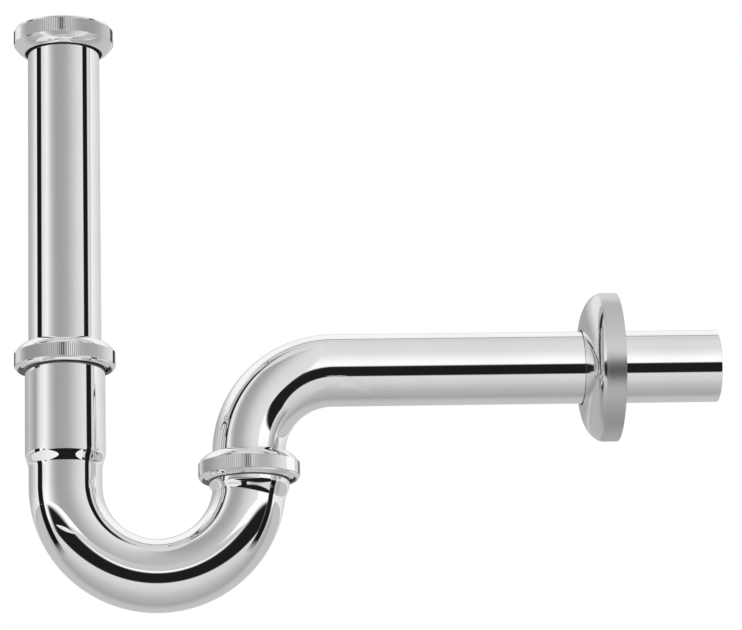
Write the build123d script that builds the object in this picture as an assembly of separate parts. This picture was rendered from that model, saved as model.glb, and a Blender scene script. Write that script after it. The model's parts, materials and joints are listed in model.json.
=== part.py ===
from build123d import *
import math
import os

# A chrome-plated brass basin trap with a tubular U-bend, in millimetres.
# The origin is the middle of the inlet washer's top face, where the basin waste seats.
# +Z runs up the inlet axis and +X runs from the inlet towards the wall.

# Drawn brass tube
TUBE_R = 16.0
TUBE_WALL = 1.0
END_CHAMFER = 0.3

# Heights and lengths
INLET_TUBE_LENGTH = 167.0   # under the washer to the tube's lower end
INSERTION = 21.9            # how far the inlet tube stands in the socket
LEFT_STRAIGHT = 7.7         # plain tube between the U-bend and the socket's neck
RIGHT_ARM_H = 6.9           # U-bend plane up to the outlet arm's mouth
TRAP_BEND_R = 40.0          # centre line of the U-bend
OUTLET_BEND_R = 37.5        # centre line of the outlet bend
OUTLET_RISER = 4.6          # straight stretch from the flange's foot to the bend
OUTLET_RUN = 171.5          # straight horizontal stretch

# Widened ends of the U-bend: the socket that the inlet tube slides into, and the outlet arm
SOCKET_CLEAR = 0.6
SOCKET_LENGTH = 43.2
NECK_LENGTH = 7.0
OUTLET_NECK = 6.0           # end of the bend that widens towards the outlet arm

# Turned-out collars and the flat rings that they clamp
FLANGE_WIDTH = 3.5
FLANGE_T = 1.0
WASHER_T = 2.0
OUTLET_SEAL_T = 1.5
ADJUST_SEAL_T = 2.0
SEAL_WIDTH = 3.6
SEAL_CLEAR = 0.15
WASHER_STEP = 0.4           # a washer's hole is this much wider than the tube's bore
RING_WIDTH = 4.0
RING_T = 0.6
RING_CLEAR = 1.0

# Pipe thread of the nuts and ferrules, drawn as plain walls about its pitch line
FERRULE_WALL = 2.6          # socket's outside to the thread's pitch line
THREAD_CLEAR = 0.15
FERRULE_H = 4.4
FERRULE_CHAMFER = 0.5
FERRULE_COVE = 0.8          # brazed fillet under the ferrule's foot
COVE_TIP = 0.15
BRAZE_GAP = 0.05

# Knurled union nut, measured from its mouth up to its crown
NUT_MOUTH_WALL = 0.7
NUT_CHAMFER_H = 0.8
NUT_RIM_H = 1.3
NUT_WALL = 1.95             # thread wall to the knurl's crests
KNURL_H = 6.3
KNURL_DEPTH = 0.35
KNURL_RIBS = 160
KNURL_STEP = 0.1            # smooth ends of the nut lie this much under the knurl's roots
CROWN_H = 4.0
CROWN_BULGE = 0.5           # how far the domed crown stands out of a straight cone
CROWN_LAND = 0.3
NUT_LIP_T = 3.2
NUT_BORE_CLEAR = 1.2
NUT_MOUTH_CHAMFER = 0.4
RELIEF_DEPTH = 0.45

# Wall rosette, a spun shell
ROSETTE_WIDTH = 17.0        # pipe's outside to the rosette's rim
ROSETTE_BAND = 6.2
ROSETTE_DOME = 9.5
ROSETTE_WALL = 0.8
ROSETTE_CLEAR = 0.6
ROSETTE_TAIL = 45.0         # pipe left standing out behind the rosette

# Derived sizes
BORE_R = TUBE_R - TUBE_WALL
SOCKET_BORE_R = TUBE_R + SOCKET_CLEAR
SOCKET_R = SOCKET_BORE_R + TUBE_WALL
FLANGE_R = TUBE_R + FLANGE_WIDTH
SEAL_R = TUBE_R + SEAL_WIDTH
WASHER_BORE_R = BORE_R + WASHER_STEP
RING_R = TUBE_R + RING_WIDTH
RING_BORE_R = TUBE_R + RING_CLEAR
THREAD_R = SOCKET_R + FERRULE_WALL
MALE_R = THREAD_R - THREAD_CLEAR
FEMALE_R = THREAD_R + THREAD_CLEAR
RELIEF_R = FEMALE_R + RELIEF_DEPTH
RELIEF_H = RING_T + FLANGE_T + WASHER_T
NUT_MOUTH_R = FEMALE_R + NUT_MOUTH_WALL
KNURL_R = FEMALE_R + NUT_WALL
NUT_H = NUT_RIM_H + KNURL_H + CROWN_H
NUT_CEILING = NUT_H - NUT_LIP_T
NUT_BORE_R = TUBE_R + NUT_BORE_CLEAR
ROSETTE_R = TUBE_R + ROSETTE_WIDTH

# Derived places
FLANGE_TOP_Z = -WASHER_T
INLET_RING_Z = FLANGE_TOP_Z - FLANGE_T - RING_T
INLET_NUT_MOUTH_Z = INLET_RING_Z + NUT_CEILING
INLET_FOOT_Z = FLANGE_TOP_Z - INLET_TUBE_LENGTH
SOCKET_MOUTH_Z = INLET_FOOT_Z + INSERTION
SOCKET_FOOT_Z = SOCKET_MOUTH_Z - SOCKET_LENGTH
NECK_FOOT_Z = SOCKET_FOOT_Z - NECK_LENGTH
BEND_Z = NECK_FOOT_Z - LEFT_STRAIGHT
ADJUST_RING_Z = SOCKET_MOUTH_Z + ADJUST_SEAL_T
ADJUST_NUT_MOUTH_Z = ADJUST_RING_Z + RING_T - NUT_CEILING
OUTLET_X = 2 * TRAP_BEND_R
OUTLET_MOUTH_Z = BEND_Z + RIGHT_ARM_H
OUTLET_FOOT_Z = OUTLET_MOUTH_Z + OUTLET_SEAL_T
OUTLET_RING_Z = OUTLET_FOOT_Z + FLANGE_T
OUTLET_NUT_MOUTH_Z = OUTLET_RING_Z + RING_T - NUT_CEILING
OUTLET_BEND_Z = OUTLET_FOOT_Z + OUTLET_RISER
PIPE_Z = OUTLET_BEND_Z + OUTLET_BEND_R
PIPE_START_X = OUTLET_X + OUTLET_BEND_R
PIPE_END_X = PIPE_START_X + OUTLET_RUN
ROSETTE_BACK_X = PIPE_END_X - ROSETTE_TAIL


def turned(*edges):
    """A solid turned about Z from the edges of its half section, drawn in X (radius) and Z."""
    return revolve(make_face(Curve() + list(edges)), Axis.Z)


def section(*points):
    """A closed half section with straight sides, as one polyline in X (radius) and Z."""
    return Polyline(*[(r, 0, z) for r, z in points], close=True)


def flat_ring(inner_r, outer_r, z, height):
    """A plain washer with its lower face at z."""
    return turned(section((inner_r, z), (outer_r, z), (outer_r, z + height), (inner_r, z + height)))


def neck_line(top_r, top_z, foot_r, foot_z):
    """Two arcs that carry one wall down from the socket to the tube, tangent to both."""
    middle = ((top_r + foot_r) / 2, 0, (top_z + foot_z) / 2)
    upper = TangentArc((top_r, 0, top_z), middle, tangent=(0, 0, -1))
    lower = TangentArc((foot_r, 0, foot_z), middle, tangent=(0, 0, 1))
    return upper, lower


def tube_section(x, z, outer_r=TUBE_R):
    """A tube's wall as a flat ring, lying level at the given place."""
    ring = Circle(outer_r) - Circle(outer_r - TUBE_WALL)
    return Pos(x, 0, z) * ring


def knurl_band():
    """The straight-ribbed band of a nut, a ring of V-shaped ribs."""
    step = math.pi / KNURL_RIBS
    points = []
    for i in range(2 * KNURL_RIBS):
        radius = KNURL_R - KNURL_DEPTH * (i % 2)
        points.append((radius * math.cos(i * step), radius * math.sin(i * step)))
    return extrude(make_face(Polyline(*points, close=True)), KNURL_H)


def union_nut():
    """A knurled nut with its mouth at Z 0 and its crown above, open for the thread below."""
    smooth_r = KNURL_R - KNURL_DEPTH - KNURL_STEP
    knurl_top = NUT_RIM_H + KNURL_H
    rim = turned(section(
        (0, 0),
        (NUT_MOUTH_R, 0),
        (smooth_r, NUT_CHAMFER_H),
        (smooth_r, NUT_RIM_H),
        (0, NUT_RIM_H),
    ))
    land_r = NUT_BORE_R + CROWN_LAND
    lean = math.hypot(smooth_r - land_r, CROWN_H)
    bulge_r = (smooth_r + land_r) / 2 + CROWN_BULGE * CROWN_H / lean
    bulge_z = knurl_top + CROWN_H / 2 + CROWN_BULGE * (smooth_r - land_r) / lean
    dome = ThreePointArc((smooth_r, 0, knurl_top), (bulge_r, 0, bulge_z), (land_r, 0, NUT_H))
    inside = Polyline((land_r, 0, NUT_H), (0, 0, NUT_H), (0, 0, knurl_top), (smooth_r, 0, knurl_top))
    crown = turned(dome, inside)
    body = rim + Pos(0, 0, NUT_RIM_H) * knurl_band() + crown
    thread_top = NUT_CEILING - RELIEF_H
    cavity = turned(section(
        (0, 0),
        (FEMALE_R + NUT_MOUTH_CHAMFER, 0),
        (FEMALE_R, NUT_MOUTH_CHAMFER),
        (FEMALE_R, thread_top),
        (RELIEF_R, thread_top),
        (RELIEF_R, NUT_CEILING),
        (NUT_BORE_R, NUT_CEILING),
        (NUT_BORE_R, NUT_H),
        (0, NUT_H),
    ))
    return body - cavity


def inlet_tube():
    """The straight tail pipe, with its top edge turned out into a collar."""
    return turned(section(
        (BORE_R, INLET_FOOT_Z),
        (TUBE_R - END_CHAMFER, INLET_FOOT_Z),
        (TUBE_R, INLET_FOOT_Z + END_CHAMFER),
        (TUBE_R, FLANGE_TOP_Z - FLANGE_T),
        (FLANGE_R, FLANGE_TOP_Z - FLANGE_T),
        (FLANGE_R, FLANGE_TOP_Z),
        (BORE_R, FLANGE_TOP_Z),
    ))


def trap_bend():
    """The U-bend: one tube, widened at both ends, at the inlet into a long socket."""
    outer_neck = neck_line(SOCKET_R, SOCKET_FOOT_Z, TUBE_R, NECK_FOOT_Z)
    inner_neck = neck_line(SOCKET_BORE_R, SOCKET_FOOT_Z, BORE_R, NECK_FOOT_Z)
    top = Polyline(
        (SOCKET_BORE_R, 0, SOCKET_FOOT_Z),
        (SOCKET_BORE_R, 0, SOCKET_MOUTH_Z),
        (SOCKET_R, 0, SOCKET_MOUTH_Z),
        (SOCKET_R, 0, SOCKET_FOOT_Z),
    )
    foot = Polyline(
        (TUBE_R, 0, NECK_FOOT_Z),
        (TUBE_R, 0, BEND_Z),
        (BORE_R, 0, BEND_Z),
        (BORE_R, 0, NECK_FOOT_Z),
    )
    left_arm = turned(top, *outer_neck, foot, *inner_neck)
    turn_axis = Axis((TRAP_BEND_R, 0, BEND_Z), (0, -1, 0))
    plain_turn = 180 - math.degrees(OUTLET_NECK / TRAP_BEND_R)
    bend = revolve(tube_section(0, BEND_Z), turn_axis, plain_turn)
    walls = []
    for narrow_r, wide_r in ((TUBE_R, SOCKET_R), (BORE_R, SOCKET_BORE_R)):
        narrow = (Pos(0, 0, BEND_Z) * Circle(narrow_r)).rotate(turn_axis, plain_turn)
        walls.append(loft([narrow, Pos(OUTLET_X, 0, BEND_Z) * Circle(wide_r)]))
    outlet_neck = walls[0] - walls[1]
    right_arm = extrude(tube_section(OUTLET_X, BEND_Z, SOCKET_R), RIGHT_ARM_H)
    return left_arm + bend + outlet_neck + right_arm


def ferrule(mouth_z):
    """A threaded ring brazed round an arm's mouth, flush with it, with a hollow fillet under its foot."""
    inner_r = SOCKET_R + BRAZE_GAP
    foot = mouth_z - FERRULE_H
    tip = foot - FERRULE_COVE
    root_r = MALE_R - FERRULE_CHAMFER
    sweep_r = root_r - inner_r - COVE_TIP
    cove = Plane.XZ * EllipticalCenterArc((root_r, tip), sweep_r, FERRULE_COVE, start_angle=90, arc_size=90)
    ring = Polyline(
        cove @ 1,
        (inner_r, 0, tip),
        (inner_r, 0, mouth_z),
        (root_r, 0, mouth_z),
        (MALE_R, 0, mouth_z - FERRULE_CHAMFER),
        (MALE_R, 0, foot + FERRULE_CHAMFER),
        cove @ 0,
    )
    return turned(cove, ring)


def outlet_pipe():
    """The swan-neck outlet: a collar, a quarter bend and the run to the wall."""
    collar = Pos(OUTLET_X, 0, 0) * turned(section(
        (BORE_R, OUTLET_FOOT_Z),
        (FLANGE_R, OUTLET_FOOT_Z),
        (FLANGE_R, OUTLET_RING_Z),
        (TUBE_R, OUTLET_RING_Z),
        (TUBE_R, OUTLET_BEND_Z),
        (BORE_R, OUTLET_BEND_Z),
    ))
    turn_axis = Axis((PIPE_START_X, 0, OUTLET_BEND_Z), (0, 1, 0))
    bend = revolve(tube_section(OUTLET_X, OUTLET_BEND_Z), turn_axis, 90)
    run = turned(section(
        (BORE_R, 0),
        (TUBE_R, 0),
        (TUBE_R, OUTLET_RUN - END_CHAMFER),
        (TUBE_R - END_CHAMFER, OUTLET_RUN),
        (BORE_R, OUTLET_RUN),
    ))
    return collar + bend + Pos(PIPE_START_X, 0, PIPE_Z) * Rot(0, 90, 0) * run


def wall_rosette():
    """The rosette, a band with a flattened dome, drawn with its back edge at Z 0 and turned to the wall."""
    hole_r = TUBE_R + ROSETTE_CLEAR
    shell = []
    for inset in (0, ROSETTE_WALL):
        shell.append(EllipticalCenterArc(
            (hole_r, ROSETTE_BAND), ROSETTE_R - hole_r - inset, ROSETTE_DOME - inset, start_angle=0, arc_size=90))
    outer, inner = (Plane.XZ * arc for arc in shell)
    back = Polyline(outer @ 0, (ROSETTE_R, 0, 0), (ROSETTE_R - ROSETTE_WALL, 0, 0), inner @ 0)
    front = Line(outer @ 1, inner @ 1)
    return Pos(ROSETTE_BACK_X, 0, PIPE_Z) * Rot(0, -90, 0) * turned(outer, back, inner, front)


nut = union_nut()
crown_down = Rot(180, 0, 0) * nut
outlet_place = Pos(OUTLET_X, 0, 0)

parts = {
    "inlet_nut": Pos(0, 0, INLET_NUT_MOUTH_Z) * crown_down,
    "inlet_washer": flat_ring(WASHER_BORE_R, FLANGE_R, FLANGE_TOP_Z, WASHER_T),
    "inlet_slip_ring": flat_ring(RING_BORE_R, RING_R, INLET_RING_Z, RING_T),
    "inlet_tube": inlet_tube(),
    "adjust_nut": Pos(0, 0, ADJUST_NUT_MOUTH_Z) * nut,
    "adjust_slip_ring": flat_ring(RING_BORE_R, RING_R, ADJUST_RING_Z, RING_T),
    "adjust_seal": flat_ring(TUBE_R + SEAL_CLEAR, SEAL_R, SOCKET_MOUTH_Z, ADJUST_SEAL_T),
    "socket_ferrule": ferrule(SOCKET_MOUTH_Z),
    "trap_bend": trap_bend(),
    "outlet_ferrule": outlet_place * ferrule(OUTLET_MOUTH_Z),
    "outlet_nut": outlet_place * (Pos(0, 0, OUTLET_NUT_MOUTH_Z) * nut),
    "outlet_slip_ring": outlet_place * flat_ring(RING_BORE_R, RING_R, OUTLET_RING_Z, RING_T),
    "outlet_seal": outlet_place * flat_ring(WASHER_BORE_R, FLANGE_R, OUTLET_MOUTH_Z, OUTLET_SEAL_T),
    "outlet_pipe": outlet_pipe(),
    "wall_rosette": wall_rosette(),
}

os.makedirs("parts", exist_ok=True)
for name, shape in parts.items():
    export_step(shape, f"parts/{name}.step")
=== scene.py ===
"""Looks of a chrome-plated basin trap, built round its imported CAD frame."""

import json
import logging
import math
from dataclasses import dataclass
from enum import Enum
from typing import Optional

import bpy
import numpy as np
from mathutils import Matrix, Vector


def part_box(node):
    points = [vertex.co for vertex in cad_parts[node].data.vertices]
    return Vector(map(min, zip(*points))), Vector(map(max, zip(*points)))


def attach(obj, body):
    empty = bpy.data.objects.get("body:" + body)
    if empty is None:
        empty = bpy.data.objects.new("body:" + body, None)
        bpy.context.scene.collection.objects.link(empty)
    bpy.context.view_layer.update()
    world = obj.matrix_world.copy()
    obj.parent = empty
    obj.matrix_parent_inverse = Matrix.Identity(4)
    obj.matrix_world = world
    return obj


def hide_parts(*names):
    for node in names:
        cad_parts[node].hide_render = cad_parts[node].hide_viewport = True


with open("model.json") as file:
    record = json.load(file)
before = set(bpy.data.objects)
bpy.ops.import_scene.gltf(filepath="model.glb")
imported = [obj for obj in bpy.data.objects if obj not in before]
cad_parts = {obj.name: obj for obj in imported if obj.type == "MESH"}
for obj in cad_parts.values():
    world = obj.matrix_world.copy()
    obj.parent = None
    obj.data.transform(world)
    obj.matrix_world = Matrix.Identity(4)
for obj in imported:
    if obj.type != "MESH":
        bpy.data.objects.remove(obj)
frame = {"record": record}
log = logging.getLogger("basin_trap")

# Drawn tube, in millimetres
MM = 0.001
TUBE_R = 16.0
TUBE_WALL = 1.0
SOCKET_R = 17.6
SOCKET_LENGTH = 43.2
NECK_LENGTH = 7.0
OUTLET_NECK = 6.0
LEFT_STRAIGHT = 7.7
RIGHT_ARM = 6.9
BEND_R = 40.0
OUTLET_BEND_R = 37.5
FLANGE_R = 19.5
FLANGE_T = 1.0
OUTLET_RISER = 4.6
OUTLET_RUN = 171.5

# Thread, as one wave that both walls follow
THREAD_PITCH = 2.309
THREAD_WAVE = 0.5
MALE_R = 20.08
FEMALE_R = 20.32
FERRULE_H = 4.4

# Knurled nut, measured from its mouth
NUT_MOUTH_R = 21.05
NUT_CHAMFER_H = 0.8
NUT_SMOOTH_R = 21.85
NUT_RIM_H = 1.3
KNURL_H = 6.3
KNURL_STEP = 0.1
KNURL_DEPTH = 0.35
KNURL_RIBS = 160
KNURL_END = 0.3
# Painted shade on the knurl: the share of the dark tone on each of a rib's two flanks
RIB_SHADE = (0.0, 0.30)
CROWN_BULGE = 0.5
NUT_LAND_R = 17.5
NUT_BORE_R = 17.2
NUT_LIP = 3.2
RELIEF_R = 20.85
RELIEF_H = 3.6

# Rosette, measured from its back edge
ROSETTE_R = 33.0
ROSETTE_BAND = 6.2
ROSETTE_DOME = 9.5
ROSETTE_WALL = 0.8
ROSETTE_HOLE_R = 16.6

# Fineness of the surfaces
TUBE_COLUMNS = 160
RING_COLUMNS = 128
THREAD_COLUMNS = 256
NUT_COLUMNS = KNURL_RIBS * 2
CARD_COLUMNS = 32
EDGE = 0.12

# Camera and stage, in metres
EYE = Vector((0.03372, -1.37367, -0.47971))
AIM = Vector((0.13542, 0.0, -0.12936))
ROLL = math.radians(-1.66)
LENS_MM = 155.26
FLOOR_Z = -0.78
FLOOR_SIZE = 8.0
PANEL_LIGHT = 1.06
CARD_R = 0.13
CARD_Z = (-0.21, 0.12)
SIDE_R = 0.055
SIDE_Z = (-0.186, -0.145)
RISER_Z = (-0.21, -0.172)
WING_DROP = 0.021
INLET_NECK_Z = -0.194
OUTLET_NECK_Z = -0.208
BEND_CARD_Z = -0.225


# A card's edge: its distance from the axis and height in metres, and its two ends in degrees
Edge = tuple[float, float, float, float]
# Places, from low to high, and the brightness at each
Stops = tuple[tuple[float, float], ...]
# Points along a path and the directions at them
Curve = tuple[np.ndarray, np.ndarray]
Socket = bpy.types.NodeSocket
# How clear a card is at each azimuth, where it is solid all the way round
SOLID = ((-180.0, 0.0), (180.0, 0.0))


class Slot(Enum):
    """The record's material slots."""

    CHROME = "chrome"
    ROSETTE = "rosette_chrome"
    RUBBER = "rubber"
    PLASTIC = "slip_plastic"


class Heading(Enum):
    """Directions a path can set out in, in radians up from +X."""

    UP = math.pi / 2
    DOWN = -math.pi / 2
    FROM_WALL = math.pi


@dataclass(frozen=True)
class Path:
    """A line in the XZ plane made of straight runs and arcs.

    Attributes:
        start: X and Z of its first point, in millimetres.
        heading: direction of travel there.
        runs: pairs of length and radius; radius 0 is straight, + turns left and - turns right.
    """

    start: tuple[float, float]
    heading: Heading
    runs: tuple[tuple[float, float], ...] = ((1000.0, 0.0),)

    def at(self, along: np.ndarray) -> tuple[np.ndarray, np.ndarray]:
        """Points of the path and the normals beside them.

        Args:
            along: distances from the start, in millimetres.
        Returns:
            Centres and in-plane normals, each of shape (n, 3).
        """
        centre = np.zeros((len(along), 3))
        angle = np.full(len(along), self.heading.value)
        point = np.array([self.start[0], self.start[1]])
        turn = self.heading.value
        done = 0.0
        for length, radius in self.runs:
            step = np.clip(along - done, 0.0, length)
            here, there = self._run(point, turn, step, radius)
            reached = (along >= done) | (done == 0.0)
            centre[reached, 0] = here[reached, 0]
            centre[reached, 2] = here[reached, 1]
            angle[reached] = there[reached]
            end, turned = self._run(point, turn, np.array([length]), radius)
            point, turn = end[0], turned[0]
            done += length
        normal = np.stack((-np.sin(angle), np.zeros_like(angle), np.cos(angle)), axis=1)
        return centre, normal

    @staticmethod
    def _run(point: np.ndarray, turn: float, step: np.ndarray, radius: float) -> Curve:
        """Follows one run from its first point.

        Args:
            point: X and Z of the run's first point.
            turn: direction of travel there, in radians.
            step: distances along the run.
            radius: the run's signed radius, 0 for straight.
        Returns:
            Points of shape (n, 2) and directions of shape (n,).
        """
        if radius == 0.0:
            direction = np.array([math.cos(turn), math.sin(turn)])
            return point + step[:, None] * direction, np.full(len(step), turn)
        bent = turn + step / radius
        hub = point + radius * np.array([-math.sin(turn), math.cos(turn)])
        return hub - radius * np.stack((-np.sin(bent), np.cos(bent)), axis=1), bent


def stations(*stops: tuple[float, float], step: float) -> np.ndarray:
    """A polyline with points added along its sides.

    Args:
        stops: corners as pairs of distance along and radius.
        step: greatest distance between points.
    Returns:
        Points of shape (n, 2), both ends included.
    """
    corners = np.array(stops, float)
    pieces = []
    for a, b in zip(corners[:-1], corners[1:]):
        count = max(1, math.ceil(np.linalg.norm(b - a) / step))
        pieces.append(a + (b - a) * np.linspace(0, 1, count, endpoint=False)[:, None])
    return np.vstack(pieces + [corners[-1:]])


def eased(loop: np.ndarray, edge: float, sharp: float = 20.0) -> np.ndarray:
    """Rounds the sharp corners of a closed outline with small curves.

    Each corner is swapped for a quadratic curve from a point on one side to a point on the other,
    drawn towards the corner, with a guard point outside each end so that flat sides stay flat.

    Args:
        loop: outline points of shape (n, 2), in order, not repeated at the end.
        edge: distance from the corner to where the curve starts.
        sharp: corners that turn by less than this many degrees are left.
    Returns:
        The new outline of shape (m, 2).
    """
    before = loop - np.roll(loop, 1, axis=0)
    after = np.roll(loop, -1, axis=0) - loop
    back = np.linalg.norm(before, axis=1)
    ahead = np.linalg.norm(after, axis=1)
    cosine = np.sum(before * after, axis=1) / (back * ahead)
    corner = np.degrees(np.arccos(np.clip(cosine, -1, 1))) > sharp
    reach = np.minimum(edge, 0.4 * np.minimum(back, ahead))
    first = loop - before / back[:, None] * reach[:, None]
    last = loop + after / ahead[:, None] * reach[:, None]
    share = np.linspace(0, 1, 4)[:, None]
    made = []
    for i, point in enumerate(loop):
        if not corner[i]:
            made.append(point[None])
            continue
        curve = (1 - share) ** 2 * first[i] + 2 * share * (1 - share) * point + share**2 * last[i]
        made += [(first[i] - before[i] / back[i] * reach[i] * 0.4)[None], curve]
        made.append((last[i] + after[i] / ahead[i] * reach[i] * 0.4)[None])
    return np.vstack(made)


def helix_wave(azimuth: np.ndarray, height: np.ndarray) -> np.ndarray:
    """A right-hand thread's wave: +1 on its crests, -1 in its roots.

    Args:
        azimuth: angles about the axis, in radians.
        height: heights along the axis, in millimetres.
    Returns:
        A triangle wave of azimuth / 2 pi - height / pitch with flattened tips.
    """
    phase = azimuth / (2 * math.pi) - height / THREAD_PITCH
    triangle = 4 * np.abs(phase - np.floor(phase + 0.5)) - 1
    return np.clip(1.25 * triangle, -1, 1)


def carried(path: Path, loop: np.ndarray, columns: int, relief: Optional[np.ndarray] = None) -> np.ndarray:
    """A closed outline carried round a path.

    Point (i, j) is the path's centre at loop distance i plus the loop's radius i, and the relief,
    in the direction cos t * normal + sin t * Y, where t = 2 pi j / columns.

    Args:
        path: the line that the surface goes round.
        loop: closed outline of shape (n, 2), distance along the path and radius.
        columns: number of steps round.
        relief: extra radius of shape (n, columns).
    Returns:
        Points in metres, of shape (n, columns, 3).
    """
    turn = np.linspace(0, 2 * math.pi, columns, endpoint=False)
    centre, normal = path.at(loop[:, 0])
    radius = np.repeat(loop[:, 1:2], columns, axis=1)
    if relief is not None:
        radius = radius + relief
    side = np.array([0.0, 1.0, 0.0])
    spoke = np.cos(turn)[None, :, None] * normal[:, None, :] + np.sin(turn)[None, :, None] * side
    return (centre[:, None, :] + radius[:, :, None] * spoke) * MM


def closed_mesh(
        name: str, grid: np.ndarray, loop: np.ndarray, facets: np.ndarray, bare_and_shade: np.ndarray,
) -> bpy.types.Object:
    """An object whose surface joins a grid up in both directions.

    Args:
        name: the object's name.
        grid: points of shape (n, m, 3), in metres.
        loop: the outline behind the rows, which gives the map its length.
        facets: True for each row of faces that keeps flat facets.
        bare_and_shade: share of unplated metal and painted shade on each face, of shape (n, 1) or (n,
            columns).
    Returns:
        The object, smooth shaded elsewhere, faces outwards, with a map of (round, along).
    """
    rows, columns = grid.shape[:2]
    i, j = np.meshgrid(np.arange(rows), np.arange(columns), indexing="ij")
    below, beside = (i + 1) % rows, (j + 1) % columns
    here, under = i * columns, below * columns
    quads = np.stack((here + j, under + j, under + beside, here + beside), -1)
    gone = np.concatenate(([0.0], np.cumsum(np.linalg.norm(np.roll(loop, -1, axis=0) - loop, axis=1))))
    around, along = j / columns, gone[i]
    u = np.stack((around, around, around + 1 / columns, around + 1 / columns), -1)
    v = np.stack((along, gone[i + 1], gone[i + 1], along), -1)
    quads, u, v = quads.reshape(-1, 4), u.reshape(-1, 4), v.reshape(-1, 4)
    points = grid.reshape(-1, 3)
    a, b, c, d = (points[quads[:, k]] for k in range(4))
    volume = np.sum(np.cross(b - a, c - a) * a) + np.sum(np.cross(c - a, d - a) * a)
    if volume < 0:
        quads, u, v = quads[:, ::-1], u[:, ::-1], v[:, ::-1]
    mesh = bpy.data.meshes.new(name)
    mesh.vertices.add(len(points))
    mesh.vertices.foreach_set("co", points.astype(np.float32).ravel())
    mesh.loops.add(quads.size)
    mesh.loops.foreach_set("vertex_index", quads.astype(np.int32).ravel())
    mesh.polygons.add(len(quads))
    mesh.polygons.foreach_set("loop_start", np.arange(0, quads.size, 4, dtype=np.int32))
    mesh.polygons.foreach_set("use_smooth", np.repeat(~facets, columns))
    mesh.update(calc_edges=True)
    layer = mesh.uv_layers.new(name="surface")
    layer.uv.foreach_set("vector", np.stack((u, v), -1).astype(np.float32).ravel())
    # Each face's share of the dark unplated tone, which also paints shade in the recesses and on every
    # second knurl flank
    inside = mesh.attributes.new("bare_and_shade", "FLOAT", "FACE")
    inside.data.foreach_set("value", np.broadcast_to(bare_and_shade, (rows, columns)).ravel().astype(np.float32))
    mesh.validate()
    made = bpy.data.objects.new(name, mesh)
    bpy.context.scene.collection.objects.link(made)
    return made


class Wiring:
    """Adds nodes to a tree and links them by name."""

    def __init__(self, tree: bpy.types.NodeTree) -> None:
        """Starts on an empty tree.

        Args:
            tree: the node tree to fill.
        """
        self.tree = tree
        tree.nodes.clear()

    def node(self, kind: str, settings: Optional[dict] = None, **sockets: object) -> bpy.types.Node:
        """Makes one node.

        Args:
            kind: Blender's node type.
            settings: properties to set on it.
            sockets: input values or output sockets, by input name with _ for spaces, or in_0, in_1.
        Returns:
            The node.
        """
        made = self.tree.nodes.new(kind)
        for key, value in (settings or {}).items():
            setattr(made, key, value)
        for key, value in sockets.items():
            place = int(key[3:]) if key.startswith("in_") else key.replace("_", " ")
            if isinstance(value, Socket):
                self.tree.links.new(value, made.inputs[place])
            else:
                made.inputs[place].default_value = value
        return made

    def math(self, operation: str, a: object, b: object = 0.0) -> Socket:
        """One sum.

        Args:
            operation: Blender's name of it.
            a: first value or socket.
            b: second value or socket.
        Returns:
            The result's socket.
        """
        return self.node("ShaderNodeMath", {"operation": operation}, in_0=a, in_1=b).outputs[0]

    def mix_colour(self, share: Socket, first: object, second: object) -> Socket:
        """A colour between two.

        Args:
            share: 0 for the first, 1 for the second.
            first: a colour or socket.
            second: a colour or socket.
        Returns:
            The mixed colour.
        """
        both = [value if isinstance(value, Socket) else (*value, 1.0) for value in (first, second)]
        made = self.node("ShaderNodeMix", {"data_type": "RGBA"}, Factor=share, in_6=both[0], in_7=both[1])
        return made.outputs[2]

    def ramp(self, value: Socket, stops: Stops) -> Socket:
        """A brightness read off a row of stops.

        Args:
            value: place on the row, from 0 to 1.
            stops: pairs of place and brightness.
        Returns:
            The brightness.
        """
        made = self.node("ShaderNodeValToRGB", Fac=value)
        row = made.color_ramp
        row.elements[0].position, row.elements[1].position = stops[0][0], stops[-1][0]
        for place, _ in stops[1:-1]:
            row.elements.new(place)
        for element, (_, bright) in zip(row.elements, stops):
            element.color = (bright, bright, bright, 1.0)
        return made.outputs["Color"]


def new_group(
        name: str, inputs: dict[str, float], outputs: dict[str, str],
) -> tuple[Wiring, bpy.types.Node]:
    """An empty shader group with a vector input, number inputs and its outputs.

    Args:
        name: the group's name.
        inputs: number inputs and their usual values.
        outputs: output names and socket types.
    Returns:
        The wiring of its tree and its input node.
    """
    tree = bpy.data.node_groups.new(name, "ShaderNodeTree")
    tree.interface.new_socket("Vector", in_out="INPUT", socket_type="NodeSocketVector")
    for key, value in inputs.items():
        tree.interface.new_socket(key, in_out="INPUT", socket_type="NodeSocketFloat").default_value = value
    for key, kind in outputs.items():
        tree.interface.new_socket(key, in_out="OUTPUT", socket_type=kind)
    wiring = Wiring(tree)
    return wiring, wiring.node("NodeGroupInput")


def haze_group() -> bpy.types.NodeTree:
    """Soft uneven polish: broad clouds crossed by fine hairlines.

    Returns:
        A group that turns a place into a mask from 0, clear, to 1, hazy.
    """
    wiring, given = new_group("trap_haze", {"Scale": 60.0, "Hairlines": 0.4}, {"Mask": "NodeSocketFloat"})
    place, broad = given.outputs["Vector"], given.outputs["Scale"]
    cloud = wiring.node("ShaderNodeTexNoise", Vector=place, Scale=broad, Detail=4.0)
    fine = wiring.math("MULTIPLY", broad, 25.0)
    line = wiring.node("ShaderNodeTexNoise", Vector=place, Scale=fine, Detail=2.0, Distortion=1.5)
    soft = wiring.node("ShaderNodeMapRange", Value=cloud.outputs[0], From_Min=0.35, From_Max=0.75)
    hair = wiring.node("ShaderNodeMapRange", Value=line.outputs[0], From_Min=0.58, From_Max=0.75)
    marks = wiring.math("MULTIPLY", hair.outputs[0], given.outputs["Hairlines"])
    both = wiring.node(
        "ShaderNodeMath", {"operation": "ADD", "use_clamp": True}, in_0=soft.outputs[0], in_1=marks)
    wiring.node("NodeGroupOutput", Mask=both.outputs[0])
    return wiring.tree


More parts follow.
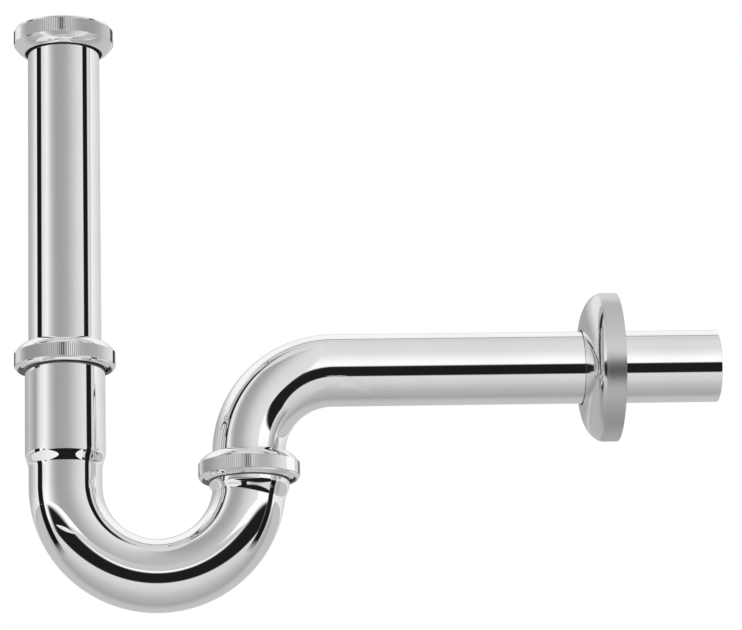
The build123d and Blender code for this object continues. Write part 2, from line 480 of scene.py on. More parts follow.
def turned_group() -> bpy.types.NodeTree:
    """Fine rings left by turning: noise read only along the outline's length.

    Returns:
        A group that turns map coordinates into a height mask and a bent normal.
    """
    outputs = {"Mask": "NodeSocketFloat", "Normal": "NodeSocketVector"}
    wiring, given = new_group("trap_turned", {"Fineness": 9.0, "Strength": 0.1}, outputs)
    parts = wiring.node("ShaderNodeSeparateXYZ", Vector=given.outputs["Vector"])
    place = wiring.math("MULTIPLY", parts.outputs["Y"], given.outputs["Fineness"])
    rings = wiring.node("ShaderNodeTexNoise", {"noise_dimensions": "1D"}, W=place, Scale=1.0, Detail=3.0)
    bump = wiring.node(
        "ShaderNodeBump", Strength=given.outputs["Strength"], Distance=0.00004, Height=rings.outputs[0])
    wiring.node("NodeGroupOutput", Mask=rings.outputs[0], Normal=bump.outputs[0])
    return wiring.tree


def grain_group() -> bpy.types.NodeTree:
    """Fine pits and specks of a moulded surface.

    Returns:
        A group that turns a place into a speck mask and a bent normal.
    """
    outputs = {"Mask": "NodeSocketFloat", "Normal": "NodeSocketVector"}
    wiring, given = new_group("trap_grain", {"Scale": 1500.0, "Strength": 0.3}, outputs)
    pits = wiring.node(
        "ShaderNodeTexNoise", Vector=given.outputs["Vector"], Scale=given.outputs["Scale"], Detail=5.0)
    speck = wiring.node("ShaderNodeMapRange", Value=pits.outputs[0], From_Min=0.4, From_Max=0.7)
    bump = wiring.node(
        "ShaderNodeBump", Strength=given.outputs["Strength"], Distance=0.0001, Height=pits.outputs[0])
    wiring.node("NodeGroupOutput", Mask=speck.outputs[0], Normal=bump.outputs[0])
    return wiring.tree


class Effect(Enum):
    """Shared surface effects."""

    HAZE = "trap_haze"
    TURNED = "trap_turned"
    GRAIN = "trap_grain"


def make_effects() -> None:
    """Makes the node groups that the finishes share."""
    haze_group()
    turned_group()
    grain_group()


@dataclass(frozen=True)
class Finish:
    """What every finish has: a principled surface whose colour runs between two tones.

    Attributes:
        slot: the record's slot that it belongs to.
        clean: colour where the effect's mask is 0.
        marked: colour where the mask is 1.
        smooth: roughness where the mask is 0.
        rough: roughness where the mask is 1.
        metallic: 1 for metal, 0 for the rest.
        effect: the shared group that gives the mask.
        values: the group's input values.
        mapped: whether the group reads the map instead of the object's own coordinates.
    """

    slot: Slot
    clean: tuple[float, float, float]
    marked: tuple[float, float, float]
    smooth: float
    rough: float
    metallic: float
    effect: Effect
    values: tuple[tuple[str, float], ...]
    mapped: bool = False

    def material(self) -> bpy.types.Material:
        """Finds or makes the material.

        Returns:
            The material, one for each slot.
        """
        name = f"trap_{self.slot.value}"
        if name in bpy.data.materials:
            return bpy.data.materials[name]
        made = bpy.data.materials.new(name)
        made.use_nodes = True
        wiring = Wiring(made.node_tree)
        place = wiring.node("ShaderNodeTexCoord").outputs["UV" if self.mapped else "Object"]
        group = wiring.node(
            "ShaderNodeGroup", {"node_tree": bpy.data.node_groups[self.effect.value]},
            Vector=place, **dict(self.values))
        tone, polish = self.coat(wiring, group.outputs["Mask"])
        surface = wiring.node(
            "ShaderNodeBsdfPrincipled", Base_Color=tone, Roughness=polish, Metallic=self.metallic)
        if "Normal" in group.outputs:
            made.node_tree.links.new(group.outputs["Normal"], surface.inputs["Normal"])
        wiring.node("ShaderNodeOutputMaterial", Surface=surface.outputs[0])
        return made

    def coat(self, wiring: Wiring, mask: Socket) -> tuple[Socket, Socket]:
        """Colour and roughness over the mask.

        Args:
            wiring: the material's tree.
            mask: the effect's mask.
        Returns:
            The colour's and the roughness's sockets.
        """
        tone = wiring.mix_colour(mask, self.clean, self.marked)
        polish = wiring.node("ShaderNodeMapRange", Value=mask, To_Min=self.smooth, To_Max=self.rough)
        return tone, polish.outputs[0]


@dataclass(frozen=True)
class PlatedFinish(Finish):
    """A plated surface, with dull unplated metal where the plating doesn't reach, in a tone dark as painted
    shade in the recesses, and the same tone as painted shade where the mesh marks it.

    Attributes:
        bare_and_shade_tone: the unplated metal's colour, dark as painted shade; also the colour of the
            painted shade on the knurl's flanks.
        bare_rough: the unplated metal's roughness.
    """

    # Dark grey, darker than real metal: unplated metal inside, darkened as painted shade, and painted shade
    # on the knurl's flanks
    bare_and_shade_tone: tuple[float, float, float] = (0.25, 0.243, 0.23)
    bare_rough: float = 0.45

    def coat(self, wiring: Wiring, mask: Socket) -> tuple[Socket, Socket]:
        """The plain coat, swapped for dull unplated metal, dark as painted shade, on the faces marked so.

        Args:
            wiring: the material's tree.
            mask: the effect's mask.
        Returns:
            The colour's and the roughness's sockets.
        """
        tone, polish = super().coat(wiring, mask)
        # The marked faces take the dark tone: unplated metal, and painted shade in the recesses and on the
        # knurl's flanks
        bare_and_shade = wiring.node("ShaderNodeAttribute", {"attribute_name": "bare_and_shade"}).outputs["Fac"]
        dull = wiring.node(
            "ShaderNodeMix", {"data_type": "FLOAT"}, Factor=bare_and_shade, in_2=polish, in_3=self.bare_rough)
        return wiring.mix_colour(bare_and_shade, tone, self.bare_and_shade_tone), dull.outputs[0]


@dataclass(frozen=True)
class BandedFinish(PlatedFinish):
    """A polished dome with a brushed band along its edge.

    Attributes:
        band: the band's width on the map, in millimetres.
        band_tone: the band's colour.
        band_rough: the band's roughness.
    """

    band: float = 9.0
    band_tone: tuple[float, float, float] = (0.66, 0.66, 0.66)
    band_rough: float = 0.33

    def coat(self, wiring: Wiring, mask: Socket) -> tuple[Socket, Socket]:
        """The plain coat, swapped for the brushed one along the band.

        Args:
            wiring: the material's tree.
            mask: the effect's mask.
        Returns:
            The colour's and the roughness's sockets.
        """
        tone, polish = super().coat(wiring, mask)
        place = wiring.node("ShaderNodeSeparateXYZ", Vector=wiring.node("ShaderNodeTexCoord").outputs["UV"])
        limits = {"From_Min": self.band + 0.3, "From_Max": self.band - 0.3}
        edge = wiring.node("ShaderNodeMapRange", Value=place.outputs["Y"], **limits).outputs[0]
        brushed = wiring.node(
            "ShaderNodeMix", {"data_type": "FLOAT"}, Factor=edge, in_2=polish, in_3=self.band_rough)
        return wiring.mix_colour(edge, tone, self.band_tone), brushed.outputs[0]


FINISHES = {
    Slot.CHROME: PlatedFinish(
        Slot.CHROME, (0.94, 0.94, 0.945), (0.90, 0.90, 0.905), 0.02, 0.06, 1.0,
        Effect.HAZE, (("Scale", 45.0), ("Hairlines", 0.35))),
    Slot.ROSETTE: BandedFinish(
        Slot.ROSETTE, (0.80, 0.80, 0.80), (0.73, 0.73, 0.73), 0.07, 0.15, 1.0,
        Effect.TURNED, (("Fineness", 7.0), ("Strength", 0.08)), mapped=True),
    Slot.RUBBER: Finish(
        Slot.RUBBER, (0.018, 0.018, 0.019), (0.045, 0.045, 0.045), 0.55, 0.8, 0.0,
        Effect.GRAIN, (("Scale", 1800.0), ("Strength", 0.35))),
    Slot.PLASTIC: Finish(
        Slot.PLASTIC, (0.80, 0.80, 0.77), (0.70, 0.70, 0.67), 0.35, 0.55, 0.0,
        Effect.GRAIN, (("Scale", 900.0), ("Strength", 0.15))),
}


@dataclass
class Piece:
    """One solid of the trap, shown by a finer surface that keeps its form.

    Attributes:
        node: the CAD node that it stands for.
        slot: the material slot.
    """

    node: str
    slot: Slot

    def place(self) -> tuple[np.ndarray, np.ndarray]:
        """Reads where the CAD has the node.

        Returns:
            Its lowest and highest corners, in millimetres.
        """
        low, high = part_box(self.node)
        return np.array(low) / MM, np.array(high) / MM

    def surface(self) -> tuple[np.ndarray, np.ndarray]:
        """Works out the surface.

        Returns:
            The grid of points and the outline behind its rows.
        """
        raise NotImplementedError

    def build(self) -> bpy.types.Object:
        """Makes the mesh.

        Returns:
            The object, not yet dressed.
        """
        grid, loop = self.surface()
        return closed_mesh(f"show_{self.node}", grid, loop, self.facets(loop), self.bare_and_shade(loop))

    def facets(self, loop: np.ndarray) -> np.ndarray:
        """Rows of faces that keep flat facets; none, unless a piece says so.

        Args:
            loop: the outline behind the rows.
        Returns:
            One truth value for each row of faces.
        """
        return np.zeros(len(loop), bool)

    def bare_and_shade(self, loop: np.ndarray) -> np.ndarray:
        """Where plating doesn't reach, in a tone dark as painted shade: inside, where the outline runs back
        past its far end.

        Args:
            loop: the outline behind the rows.
        Returns:
            The share of unplated metal, dark as painted shade, on each row of faces, of shape (n, 1).
        """
        back = np.roll(loop[:, 0], -1) - loop[:, 0] < -1e-6
        inside = back & (np.arange(len(loop)) >= np.argmax(loop[:, 0]))
        return inside[:, None].astype(float)

    def dress(self, made: bpy.types.Object) -> None:
        """Gives the object its material and hands it to the frame.

        Args:
            made: the object from build().
        """
        made.data.materials.append(FINISHES[self.slot].material())
        bodies = frame["record"]["behaviour"]["bodies"]
        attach(made, next(body for body, nodes in bodies.items() if self.node in nodes))
        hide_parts(self.node)
        log.info("%s: %d faces", made.name, len(made.data.polygons))


@dataclass
class FlatRing(Piece):
    """A washer, seal or slip ring.

    Attributes:
        bore: radius of its hole, in millimetres.
    """

    bore: float

    def surface(self) -> tuple[np.ndarray, np.ndarray]:
        """A rectangle with eased corners carried round the axis.

        Returns:
            The grid of points and the outline behind its rows.
        """
        low, high = self.place()
        middle, outer = (low + high) / 2, (high - low)[0] / 2
        thick = high[2] - low[2]
        sides = ((0, self.bore), (0, outer), (thick, outer), (thick, self.bore), (0, self.bore))
        loop = eased(stations(*sides, step=1.0)[:-1], EDGE)
        path = Path((middle[0], low[2]), Heading.UP)
        return carried(path, loop, RING_COLUMNS), loop


@dataclass
class Ferrule(Piece):
    """A threaded ring brazed on an arm of the trap bend.

    Attributes:
        bore: radius of its hole, in millimetres.
    """

    bore: float = SOCKET_R + 0.05

    def surface(self) -> tuple[np.ndarray, np.ndarray]:
        """A ring whose outer wall rises and falls with a helix wave of azimuth and height.

        Its foot is a hollow quarter ellipse that runs out on the arm.

        Returns:
            The grid of points and the outline behind its rows.
        """
        low, high = self.place()
        middle, tall = (low + high) / 2, high[2] - low[2]
        cove, lead, root = tall - FERRULE_H, 0.5, MALE_R - THREAD_WAVE
        swing = np.linspace(math.pi, math.pi / 2, 12)
        reach = root - self.bore - EDGE
        fillet = np.stack((cove * np.sin(swing), root + reach * np.cos(swing)), axis=1)
        outside = stations((cove, root), (tall, root), step=0.12)[1:]
        inside = stations((tall, self.bore), (0, self.bore), step=1.0)
        loop = np.vstack((fillet, outside, inside))
        turn = np.linspace(0, 2 * math.pi, THREAD_COLUMNS, endpoint=False)
        wave = helix_wave(math.pi - turn[None, :], low[2] + loop[:, :1])
        fade = np.clip(np.minimum(loop[:, :1] - cove, tall - loop[:, :1]) / lead, 0, 1)
        threaded = loop[:, 1:] > root - 1e-6
        relief = threaded * fade * THREAD_WAVE * (wave + 1)
        relief = np.minimum(relief, (high - low)[0] / 2 - loop[:, 1:])
        path = Path((middle[0], low[2]), Heading.UP)
        return carried(path, loop, THREAD_COLUMNS, relief), loop


@dataclass
class UnionNut(Piece):
    """A knurled nut with a domed crown and a thread inside.

    Attributes:
        heading: direction from its mouth to its crown.
    """

    heading: Heading

    def surface(self) -> tuple[np.ndarray, np.ndarray]:
        """The nut's half section carried round its axis.

        The outer wall adds 160 V ribs, a triangle wave of the angle that fades at the band's ends.
        The inner wall adds the thread, a helix wave of azimuth and height.

        Returns:
            The grid of points and the outline behind its rows.
        """
        low, high = self.place()
        middle, tall = (low + high) / 2, high[2] - low[2]
        up = self.heading is Heading.UP
        loop = self.outline(tall)
        turn = np.linspace(0, 2 * math.pi, NUT_COLUMNS, endpoint=False)
        height = low[2] + loop[:, :1] if up else high[2] - loop[:, :1]
        azimuth = math.pi - turn if up else turn
        relief = self.ribs(loop, turn) + self.thread(loop, tall, azimuth[None, :], height)
        path = Path((middle[0], low[2] if up else high[2]), self.heading)
        return carried(path, loop, NUT_COLUMNS, relief), loop

    @staticmethod
    def outline(tall: float) -> np.ndarray:
        """The half section, from the mouth over the crown and back inside.

        Args:
            tall: the nut's height, in millimetres.
        Returns:
            The closed outline as distance from the mouth and radius.
        """
        knurl_top = NUT_RIM_H + KNURL_H
        rim = stations((0, NUT_MOUTH_R), (NUT_CHAMFER_H, NUT_SMOOTH_R), (NUT_RIM_H, NUT_SMOOTH_R), step=0.5)
        band = np.array((0.05, KNURL_END, KNURL_H / 2, KNURL_H - KNURL_END, KNURL_H - 0.05))
        band = np.stack((NUT_RIM_H + band, np.full(len(band), NUT_SMOOTH_R)), axis=1)
        foot, head = np.array((knurl_top, NUT_SMOOTH_R)), np.array((tall, NUT_LAND_R))
        share = np.linspace(0, 1, 14)[:, None]
        lean = (head - foot)[::-1] * (-1, 1) / np.linalg.norm(head - foot)
        dome = foot + (head - foot) * share + lean * CROWN_BULGE * 4 * share * (1 - share)
        ceiling = tall - NUT_LIP
        thread_top = ceiling - RELIEF_H
        bore = ((tall, NUT_BORE_R), (ceiling, NUT_BORE_R), (ceiling, RELIEF_R), (thread_top, RELIEF_R))
        inside = stations(*bore, step=1.2)
        thread = stations((thread_top - 0.05, FEMALE_R), (0, FEMALE_R), step=0.19)
        outer = np.vstack((rim, band, dome))
        return np.vstack((eased(np.vstack((outer, inside)), EDGE), thread))

    def facets(self, loop: np.ndarray) -> np.ndarray:
        """The knurl's flanks stay flat.

        Args:
            loop: the outline behind the rows.
        Returns:
            True for the rows of faces on the knurled band.
        """
        along = loop[:, 0] - NUT_RIM_H
        outer = loop[:, 1] > NUT_SMOOTH_R - 1e-6
        return outer & (along > 0.04) & (along < KNURL_H - 0.1)

    def bare_and_shade(self, loop: np.ndarray) -> np.ndarray:
        """As for every piece, and painted shade on the ribs' flanks, by RIB_SHADE's two shares, darker on
        every second one.

        Args:
            loop: the outline behind the rows.
        Returns:
            The share of unplated metal and painted shade on each face, of shape (n, columns).
        """
        # Painted shade: every second flank of each rib is mixed towards the dark tone
        flanks = np.tile(RIB_SHADE, KNURL_RIBS)
        return super().bare_and_shade(loop) + self.facets(loop)[:, None] * flanks

    @staticmethod
    def ribs(loop: np.ndarray, turn: np.ndarray) -> np.ndarray:
        """Height of the knurl's ribs over the smooth wall.

        Args:
            loop: the outline.
            turn: angles round the nut.
        Returns:
            Extra radius of shape (n, columns).
        """
        along = loop[:, 0] - NUT_RIM_H
        rise = np.clip(np.minimum(along - 0.05, KNURL_H - 0.05 - along) / (KNURL_END - 0.05), 0, 1)
        rise = rise * (loop[:, 1] > NUT_SMOOTH_R - 1e-6)
        phase = turn * KNURL_RIBS / (2 * math.pi)
        wave = 2 * np.abs(phase - np.floor(phase) - 0.5)
        return rise[:, None] * (KNURL_STEP + KNURL_DEPTH * wave)[None, :]

    @staticmethod
    def thread(loop: np.ndarray, tall: float, azimuth: np.ndarray, height: np.ndarray) -> np.ndarray:
        """Height of the thread over its middle line.

        Args:
            loop: the outline.
            tall: the nut's height.
            azimuth: angles about the axis, of shape (1, columns).
            height: heights in the frame, of shape (n, 1).
        Returns:
            Extra radius of shape (n, columns).
        """
        top = tall - NUT_LIP - RELIEF_H
        inner = np.abs(loop[:, 1:] - FEMALE_R) < 1e-6
        mouth = np.clip(1 - loop[:, :1] / 0.5, 0, 1) * 0.45
        fade = np.clip(np.minimum(loop[:, :1], top - loop[:, :1]) / 0.4, 0, 1)
        return inner * (fade * THREAD_WAVE * helix_wave(azimuth, height) + mouth)


@dataclass
class InletTube(Piece):
    """The straight tail pipe with its turned-out collar."""

    def surface(self) -> tuple[np.ndarray, np.ndarray]:
        """The wall's half section, with the collar, carried down the axis.

        Returns:
            The grid of points and the outline behind its rows.
        """
        low, high = self.place()
        long, bore = high[2] - low[2], TUBE_R - TUBE_WALL
        collar = ((0, FLANGE_R), (FLANGE_T, FLANGE_R), (FLANGE_T, TUBE_R))
        outside = stations(*collar, (long, TUBE_R), step=4.0)
        inside = stations((long, bore), (0, bore), step=4.0)
        loop = eased(np.vstack((outside, inside)), 0.3)
        return carried(Path((0, high[2]), Heading.DOWN), loop, TUBE_COLUMNS), loop


@dataclass
class TrapBend(Piece):
    """The U-bend with the socket that the tail pipe slides in."""

    def surface(self) -> tuple[np.ndarray, np.ndarray]:
        """A ring carried down the left arm, round the bend and up the right arm.

        Its radius falls from the socket's to the tube's by half a cosine over the neck, and rises again
        by half a cosine over the end of the bend.

        Returns:
            The grid of points and the outline behind its rows.
        """
        _, high = self.place()
        round_bend = math.pi * BEND_R
        straight = SOCKET_LENGTH + NECK_LENGTH + LEFT_STRAIGHT
        turned = straight + round_bend
        total = turned + RIGHT_ARM
        neck = np.linspace(SOCKET_LENGTH, SOCKET_LENGTH + NECK_LENGTH, 25)
        steps = np.concatenate((
            np.linspace(0, SOCKET_LENGTH, 12), neck[1:], np.linspace(neck[-1], straight, 6)[1:],
            np.linspace(straight, turned - OUTLET_NECK, 116)[1:],
            np.linspace(turned - OUTLET_NECK, turned, 22)[1:],
            np.linspace(turned, total, 4)[1:]))
        share = np.clip((steps - SOCKET_LENGTH) / NECK_LENGTH, 0, 1)
        share = share - np.clip((steps - turned + OUTLET_NECK) / OUTLET_NECK, 0, 1)
        radius = TUBE_R + (SOCKET_R - TUBE_R) * (1 + np.cos(math.pi * share)) / 2
        outside = np.stack((steps, radius), axis=1)
        inside = np.stack((steps, radius - TUBE_WALL), axis=1)[::-1]
        loop = eased(np.vstack((outside, inside)), 0.3, sharp=40)
        path = Path((0, high[2]), Heading.DOWN, ((straight, 0), (round_bend, BEND_R), (RIGHT_ARM, 0)))
        return carried(path, loop, TUBE_COLUMNS), loop


@dataclass
class OutletPipe(Piece):
    """The outlet: a collar, a quarter bend and the run to the wall."""

    def surface(self) -> tuple[np.ndarray, np.ndarray]:
        """The wall's half section, with the collar, carried up, round the bend and along to the wall.

        Returns:
            The grid of points and the outline behind its rows.
        """
        low, _ = self.place()
        round_bend = math.pi / 2 * OUTLET_BEND_R
        total, bore = OUTLET_RISER + round_bend + OUTLET_RUN, TUBE_R - TUBE_WALL
        foot = stations((0, FLANGE_R), (FLANGE_T, FLANGE_R), (FLANGE_T, TUBE_R), step=1.0)
        steps = np.concatenate((
            np.linspace(FLANGE_T, OUTLET_RISER, 5)[1:],
            np.linspace(OUTLET_RISER, OUTLET_RISER + round_bend, 70)[1:],
            np.linspace(total - OUTLET_RUN, total, 30)[1:]))
        wall = np.stack((steps, np.full(len(steps), TUBE_R)), axis=1)
        back = np.concatenate((steps[::-1], [0.0]))
        inside = np.stack((back, np.full(len(back), bore)), axis=1)
        loop = eased(np.vstack((foot, wall, inside)), 0.3)
        runs = ((OUTLET_RISER, 0), (round_bend, -OUTLET_BEND_R), (OUTLET_RUN, 0))
        return carried(Path((low[0] + FLANGE_R, low[2]), Heading.UP, runs), loop, TUBE_COLUMNS), loop


@dataclass
class WallRosette(Piece):
    """The wall rosette, a spun shell with a flattened dome."""

    def surface(self) -> tuple[np.ndarray, np.ndarray]:
        """A band and a quarter ellipse, with a wall's thickness, carried round the pipe.

        Returns:
            The grid of points and the outline behind its rows.
        """
        low, high = self.place()
        swing = np.linspace(0, math.pi / 2, 48)
        reach = ROSETTE_R - ROSETTE_HOLE_R
        shells = []
        for inset in (0.0, ROSETTE_WALL):
            along = ROSETTE_BAND + (ROSETTE_DOME - inset) * np.sin(swing)
            shells.append(np.stack((along, ROSETTE_HOLE_R + (reach - inset) * np.cos(swing)), axis=1))
        band = stations((0, ROSETTE_R), (ROSETTE_BAND, ROSETTE_R), step=1.0)[:-1]
        inner = ROSETTE_R - ROSETTE_WALL
        back = stations((ROSETTE_BAND, inner), (0, inner), step=1.0)[1:]
        loop = eased(np.vstack((band, shells[0], shells[1][::-1], back)), 0.2)
        middle = (low + high) / 2
        return carried(Path((high[0], middle[2]), Heading.FROM_WALL), loop, TUBE_COLUMNS), loop


@dataclass
class Studio:
    """Floor, light tent and camera."""

    def build(self) -> None:
        """Makes the stage."""
        self.floor()
        self.tent()
        self.cards()
        self.lamps()
        self.camera()

    def floor(self) -> None:
        """A plain pale floor well below the hanging trap; the metal shows the tent in its place."""
        half = FLOOR_SIZE / 2
        mesh = bpy.data.meshes.new("floor")
        flat = ((-half, -half), (half, -half), (half, half), (-half, half))
        mesh.from_pydata([(x, y, FLOOR_Z) for x, y in flat], [], [(0, 1, 2, 3)])
        made = bpy.data.objects.new("floor", mesh)
        bpy.context.scene.collection.objects.link(made)
        material = bpy.data.materials.new("trap_floor")
        material.use_nodes = True
        wiring = Wiring(material.node_tree)
        place = wiring.node("ShaderNodeTexCoord").outputs["Object"]
        mottle = wiring.node("ShaderNodeTexNoise", Vector=place, Scale=6.0, Detail=6.0)
        tone = wiring.mix_colour(mottle.outputs[0], (0.86, 0.86, 0.85), (0.80, 0.80, 0.79))
        surface = wiring.node("ShaderNodeBsdfPrincipled", Base_Color=tone, Roughness=0.7)
        wiring.node("ShaderNodeOutputMaterial", Surface=surface.outputs[0])
        mesh.materials.append(material)
        made.visible_glossy = False

    def tent(self) -> None:
        """A light tent with dark gaps between its panels, which gives the chrome its lines."""
        world = bpy.data.worlds.new("trap_tent")
        world.use_nodes = True
        bpy.context.scene.world = world
        wiring = Wiring(world.node_tree)
        toward = wiring.node("ShaderNodeTexCoord").outputs["Generated"]
        parts = wiring.node("ShaderNodeSeparateXYZ", Vector=toward)
        x, y, z = parts.outputs
        front = wiring.math("MULTIPLY", y, -1.0)
        sideways = self.turn(wiring, x, front)
        over = self.turn(wiring, z, front)
        gaps = wiring.ramp(sideways, degrees(
            (-180, 1.0), (-97, 1.0), (-95, 0.012), (-77, 0.012), (-75, 1.0), (63, 1.0), (65, 0.012),
            (81, 0.012), (83, 1.0), (180, 1.0)))
        tone = wiring.ramp(sideways, degrees(
            (-180, 0.45), (-139, 0.51), (-123, 0.61), (-110, 0.79), (-98, 0.94), (-75, 1.0), (60, 1.0),
            (82, 1.0), (96, 0.98), (106, 0.92), (130, 0.79), (180, 0.60)))
        roof = wiring.ramp(over, degrees(
            (-180, 0.54), (-138, 0.53), (-125, 0.47), (-114, 0.38), (-104, 0.405), (-86, 0.46),
            (-70, 0.535), (-56, 0.63), (-31, 0.72), (-28, 1.0), (10, 1.0), (18, 0.95), (33, 0.81),
            (47, 0.73), (82, 0.69), (102, 0.63), (104, 0.20), (105, 0.20), (107, 0.88), (118, 0.93),
            (150, 0.90), (180, 0.88)))
        table = wiring.ramp(over, degrees(
            (-180, 1.0), (-34, 1.0), (-31, 0.012), (-2, 0.012), (1, 1.0), (180, 1.0)))
        level = wiring.math("ABSOLUTE", wiring.math("SUBTRACT", z, 0.25))
        near = wiring.node("ShaderNodeMapRange", Value=level, From_Min=0.34, From_Max=0.10).outputs[0]
        reach = wiring.node("ShaderNodeMapRange", Value=level, From_Min=0.75, From_Max=0.62).outputs[0]
        aside = wiring.math("ABSOLUTE", wiring.math("SUBTRACT", sideways, 0.5))
        limits = {"From_Min": 70 / 360, "From_Max": 62 / 360}
        ahead = wiring.node("ShaderNodeMapRange", Value=aside, **limits).outputs[0]
        seen = wiring.math("MULTIPLY", roof, PANEL_LIGHT)
        for share, layer in ((near, tone), (reach, gaps), (ahead, table)):
            part = wiring.node("ShaderNodeMix", {"data_type": "FLOAT"}, Factor=share, in_2=1.0, in_3=layer)
            seen = wiring.math("MULTIPLY", seen, part.outputs[0])
        camera = wiring.node("ShaderNodeLightPath").outputs["Is Camera Ray"]
        shown = wiring.node("ShaderNodeMix", {"data_type": "FLOAT"}, Factor=camera, in_2=seen, in_3=1.0)
        light = wiring.node("ShaderNodeBackground", Color=shown.outputs[0], Strength=1.0)
        wiring.node("ShaderNodeOutputWorld", Surface=light.outputs[0])

    def cards(self) -> None:
        """Cards close before the two arms, which only reflections show.

        A wide grey one stands before the tail pipe and the socket, and a light grey one at the
        socket's left. White wings lie level under the necks: two leave a window that widens outwards
        under the inlet's neck, and one lies left of the outlet's, with a black wedge beside it.
        A grey one lies level over the U-bend and faces down, and another stands right of the
        outlet's riser.
        """
        inlet, outlet = 0.0, 2 * BEND_R * MM
        foot, head = CARD_Z
        self.card("tail_card", inlet, (CARD_R, foot, -55, 59), (CARD_R, head, -55, 59), (
            (-55, 1.0), (-47, 0.82), (-41, 0.64), (-34, 0.50), (-28, 0.425), (-21, 0.38), (-5, 0.39),
            (8, 0.43), (20, 0.53), (33, 0.655), (46, 0.755), (59, 0.81)))
        foot, head = SIDE_Z
        self.card("side_card", inlet, (SIDE_R, foot, -110, -60), (SIDE_R, head, -110, -60), (
            (-110, 0.62), (-80, 0.36), (-60, 0.9)))
        white = ((-112, 0.78), (-70, 0.84), (-45, 0.92), (-30, 0.96), (30, 0.96), (60, 0.88), (90, 0.84))
        low = INLET_NECK_Z - WING_DROP
        self.card("inlet_left_wing", inlet, (0.05, low, -112, -5), (0.17, low, -112, -49), white)
        self.card("inlet_right_wing", inlet, (0.05, low, 22, 50), (0.17, low, 49, 50), white)
        low = OUTLET_NECK_Z - WING_DROP
        self.card("outlet_wing", outlet, (0.05, low, -75, -28), (0.11, low, -75, -46), white)
        self.card("outlet_waist", outlet, (0.036, low, -22, -14), (0.055, low, -27, -9), (
            (-27, 0.012), (-9, 0.012)))
        self.card("bend_card", outlet / 2, (0.25, BEND_CARD_Z, -60, 60), (0.06, BEND_CARD_Z, -60, 60), (
            (-60, 0.95), (-35, 0.72), (-10, 0.60), (20, 0.58), (40, 0.66), (60, 0.85)))
        foot, head = RISER_Z
        self.card("riser_card", outlet, (SIDE_R, foot, 52, 88), (SIDE_R, head, 52, 88), (
            (52, 0.70), (70, 0.62)), fade=((54, 0.0), (86, 1.0)))

    def card(
            self, name: str, axis: float, first: Edge, second: Edge, tones: Stops, fade: Stops = SOLID,
    ) -> None:
        """One card between two edges, clear from behind.

        Each edge is (x + r sin t, -r cos t, z), where t runs from its left end to its right end.

        Args:
            name: the card's name.
            axis: X of the upright axis that it lies round, in metres.
            first: its foot, or its near edge where it lies level and faces up.
            second: its head, or its far edge.
            tones: pairs of azimuth, in degrees, and brightness.
            fade: pairs of azimuth, in degrees, and how clear it is there, from 0 to 1.
        """
        count = CARD_COLUMNS + 1
        share = np.linspace(0, 1, count)
        rows = []
        for radius, height, left, right in (first, second):
            turn = np.radians(left + (right - left) * share)
            x, y = axis + radius * np.sin(turn), -radius * np.cos(turn)
            rows.append(np.stack((x, y, np.full(count, height)), axis=1))
        points = np.vstack(rows)
        start = np.arange(CARD_COLUMNS)
        faces = np.stack((start, start + count, start + count + 1, start + 1), axis=1)
        mesh = bpy.data.meshes.new(name)
        mesh.from_pydata(points.tolist(), [], faces.tolist())
        made = bpy.data.objects.new(name, mesh)
        bpy.context.scene.collection.objects.link(made)
        material = bpy.data.materials.new(f"trap_{name}")
        material.use_nodes = True
        wiring = Wiring(material.node_tree)
        place = wiring.node("ShaderNodeTexCoord").outputs["Object"]
        parts = wiring.node("ShaderNodeSeparateXYZ", Vector=place)
        across = wiring.math("SUBTRACT", parts.outputs["X"], axis)
        sideways = self.turn(wiring, across, wiring.math("MULTIPLY", parts.outputs["Y"], -1.0))
        glow = wiring.node("ShaderNodeEmission", Color=wiring.ramp(sideways, degrees(*tones)), Strength=1.0)
        clear = wiring.node("ShaderNodeBsdfTransparent")
        back = wiring.node("ShaderNodeNewGeometry").outputs["Backfacing"]
        unseen = wiring.math("MAXIMUM", back, wiring.ramp(sideways, degrees(*fade)))
        surface = wiring.node(
            "ShaderNodeMixShader", Fac=unseen, in_1=glow.outputs[0], in_2=clear.outputs[0])
        wiring.node("ShaderNodeOutputMaterial", Surface=surface.outputs[0])
        mesh.materials.append(material)
        for ray in ("camera", "diffuse", "transmission", "volume_scatter", "shadow"):
            setattr(made, f"visible_{ray}", False)

    @staticmethod
    def turn(wiring: Wiring, across: Socket, ahead: Socket) -> Socket:
        """The angle of a direction, as a share of a full turn.

        Args:
            wiring: the tree to add to.
            across: the part of the direction to the side.
            ahead: the part of it to the front.
        Returns:
            0 to 1, where 0.5 is straight ahead.
        """
        angle = wiring.math("ARCTAN2", across, ahead)
        return wiring.math("ADD", wiring.math("DIVIDE", angle, 2 * math.pi), 0.5)

    def lamps(self) -> None:
        """Two broad soft lamps, for the floor and the matt pieces."""
        for name, place, power in (("key", (-0.9, -1.1, 1.1), 9.0), ("fill", (1.2, -0.8, 0.7), 5.0)):
            lamp = bpy.data.lights.new(name, "AREA")
            lamp.size = 1.2
            lamp.energy = power
            made = bpy.data.objects.new(name, lamp)
            made.location = place
            made.rotation_euler = (AIM - Vector(place)).to_track_quat("-Z", "Y").to_euler()
            made.visible_glossy = False
            bpy.context.scene.collection.objects.link(made)

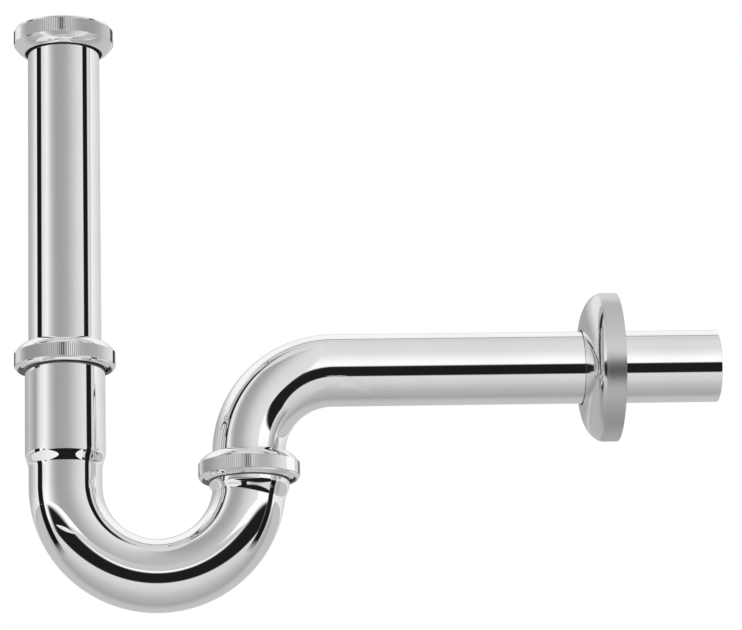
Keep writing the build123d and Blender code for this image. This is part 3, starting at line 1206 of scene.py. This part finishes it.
    def camera(self) -> None:
        """The photograph's view: a long lens a little below the trap, looking up at it."""
        lens = bpy.data.cameras.new("camera")
        lens.lens = LENS_MM
        lens.sensor_width = 36.0
        lens.dof.use_dof = False
        made = bpy.data.objects.new("camera", lens)
        look = (AIM - EYE).to_track_quat("-Z", "Y").to_matrix().to_4x4()
        made.matrix_world = Matrix.Translation(EYE) @ look @ Matrix.Rotation(ROLL, 4, "Z")
        bpy.context.scene.collection.objects.link(made)
        bpy.context.scene.camera = made
        bpy.context.scene.view_settings.view_transform = "Standard"


def degrees(*stops: tuple[float, float]) -> Stops:
    """Turns stops given in degrees into shares of a full turn.

    Args:
        stops: pairs of degrees, from -180 to 180, and brightness.
    Returns:
        Pairs of place, from 0 to 1, and brightness.
    """
    return tuple((angle / 360 + 0.5, bright) for angle, bright in stops)


def trap_pieces() -> list[Piece]:
    """The trap's pieces, from the basin down and on to the wall.

    Returns:
        The pieces in building order.
    """
    bore = TUBE_R - TUBE_WALL
    return [
        UnionNut("inlet_nut", Slot.CHROME, Heading.DOWN),
        FlatRing("inlet_washer", Slot.RUBBER, bore + 0.4),
        FlatRing("inlet_slip_ring", Slot.PLASTIC, TUBE_R + 1.0),
        InletTube("inlet_tube", Slot.CHROME),
        UnionNut("adjust_nut", Slot.CHROME, Heading.UP),
        FlatRing("adjust_slip_ring", Slot.PLASTIC, TUBE_R + 1.0),
        FlatRing("adjust_seal", Slot.RUBBER, TUBE_R + 0.15),
        Ferrule("socket_ferrule", Slot.CHROME),
        TrapBend("trap_bend", Slot.CHROME),
        Ferrule("outlet_ferrule", Slot.CHROME),
        UnionNut("outlet_nut", Slot.CHROME, Heading.UP),
        FlatRing("outlet_slip_ring", Slot.PLASTIC, TUBE_R + 1.0),
        FlatRing("outlet_seal", Slot.RUBBER, bore + 0.4),
        OutletPipe("outlet_pipe", Slot.CHROME),
        WallRosette("wall_rosette", Slot.ROSETTE),
    ]


def main() -> None:
    """Builds the pieces and the stage."""
    logging.basicConfig(level=logging.INFO, format="%(message)s")
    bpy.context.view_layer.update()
    make_effects()
    for piece in trap_pieces():
        piece.dress(piece.build())
    Studio().build()


if __name__ == "__main__":
    main()
